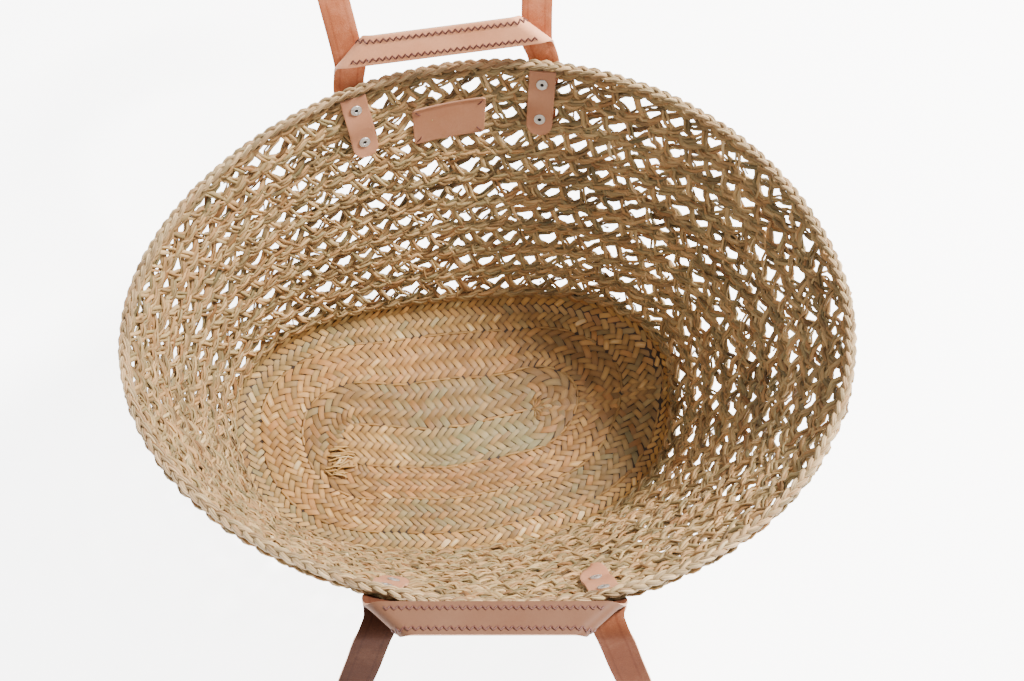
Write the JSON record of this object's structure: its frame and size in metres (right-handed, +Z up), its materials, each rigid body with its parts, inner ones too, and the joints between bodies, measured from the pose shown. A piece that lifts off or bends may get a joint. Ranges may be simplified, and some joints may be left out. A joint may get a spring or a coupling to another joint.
{
  "type": "straw basket bag",
  "caption": "Oval straw basket bag with a plaited base, openwork netted wall, braided rim, short leather handles and long leather straps",
  "frame": {"origin": "On the floor, in the middle of the plaited base's underside", "axes": "+Z up out of the mouth, +Y towards the wall that carries the label, +X along the basket's width to the right of a viewer who faces the label"},
  "size_m": [0.5582, 0.8258, 0.3399],
  "materials": {
    "straw": "dry plaited palm leaf",
    "braid": "pale braided palm leaf",
    "leather": "smooth grain side, cut edges",
    "strap_leather": "matt flesh side",
    "rivet_steel": "satin washer"
  },
  "bodies": {
    "root": {"base": "straw", "base_edge": "straw", "net_wall": "straw", "rim": "braid", "label": "leather", "handle_far": "leather", "handle_near": "leather", "strap_far": "strap_leather", "strap_near": "strap_leather", "tab_far_left": "leather", "tab_far_right": "leather", "tab_near_left": "leather", "tab_near_right": "leather", "rivet_far_left_1": "rivet_steel", "rivet_far_left_2": "rivet_steel", "rivet_far_right_1": "rivet_steel", "rivet_far_right_2": "rivet_steel", "rivet_near_left_1": "rivet_steel", "rivet_near_left_2": "rivet_steel", "rivet_near_right_1": "rivet_steel", "rivet_near_right_2": "rivet_steel"}
  },
  "joints": []
}
